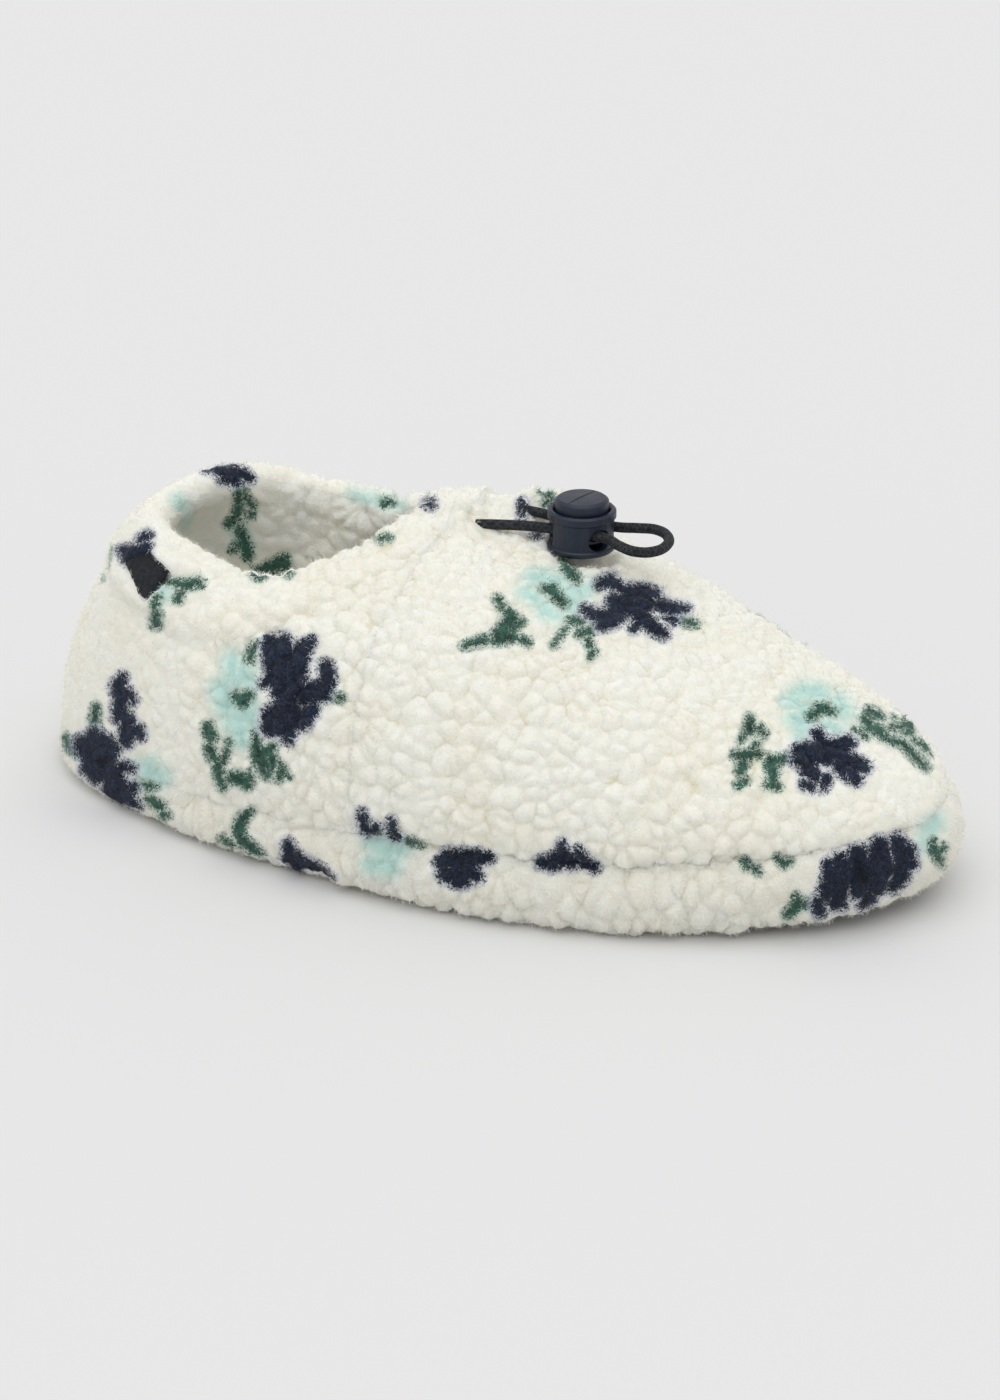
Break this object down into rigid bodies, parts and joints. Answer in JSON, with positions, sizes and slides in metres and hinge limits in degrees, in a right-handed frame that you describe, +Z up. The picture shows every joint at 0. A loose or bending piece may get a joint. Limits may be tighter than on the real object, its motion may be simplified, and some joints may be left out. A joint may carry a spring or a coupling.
{
  "type": "closed-back slipper",
  "caption": "Closed-back fleece slipper for the right foot, with a fleece-banded sole and a collar drawn in by an elastic cord and a spring cord lock.",
  "frame": {"origin": "centre of the slipper's plan box on the floor it stands on", "axes": "+X to the toe, +Y to the inner side of the foot, +Z up"},
  "size_m": [0.2634, 0.1076, 0.0931],
  "materials": {
    "upper": "cream pile fleece with a scattered flower print",
    "midsole": "foam sole wrapped in the same pile fleece",
    "outsole": "matte grip sole",
    "insole": "cream pile fleece over foam",
    "drawcord": "braided elastic cord",
    "lock_body": "satin moulded",
    "lock_button": "satin moulded",
    "label_tab": "bare woven tab"
  },
  "bodies": {
    "slipper": {"upper": "upper", "midsole": "midsole", "outsole": "outsole", "insole": "insole", "drawcord": "drawcord", "lock_body": "lock_body", "label_tab": "label_tab"},
    "button": {"lock_button": "lock_button"}
  },
  "joints": [
    {"name": "button_press", "type": "slide", "parent": "slipper", "child": "button", "axis": [0, 0, -1], "range_m": [0, 0.002], "stiffness_N_per_m": 1000, "springref_m": -0.002}
  ]
}
